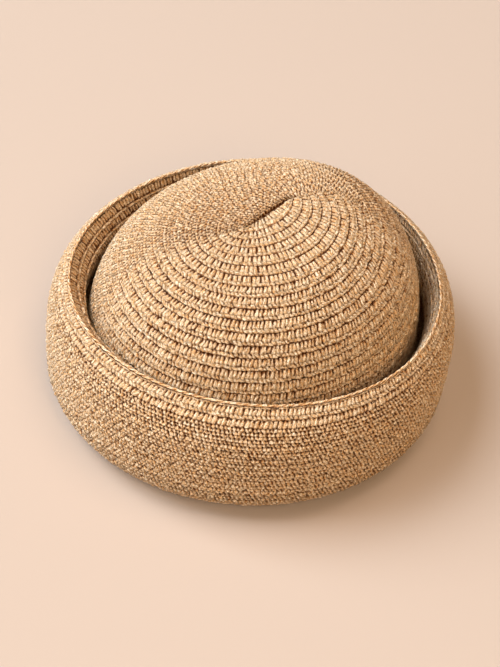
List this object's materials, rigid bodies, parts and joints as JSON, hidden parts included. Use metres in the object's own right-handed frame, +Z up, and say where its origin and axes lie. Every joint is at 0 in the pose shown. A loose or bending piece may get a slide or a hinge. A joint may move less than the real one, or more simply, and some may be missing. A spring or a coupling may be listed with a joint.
{
  "type": "crocheted straw hat with turned-up brim",
  "caption": "Crocheted straw hat with an oval domed crown and a rolled brim turned up all round it, resting on its brim.",
  "frame": {"origin": "centre of the hat's bounding box on the surface that it rests on", "axes": "+Z up out of the crown, -Y is the front that the picture shows"},
  "size_m": [0.2321, 0.244, 0.1209],
  "materials": {
    "crown_straw": "matt crocheted straw",
    "brim_straw": "matt crocheted straw",
    "edge_straw": "matt twisted straw"
  },
  "bodies": {
    "root": {"crown": "crown_straw", "brim": "brim_straw", "edge_chain": "edge_straw"}
  },
  "joints": []
}
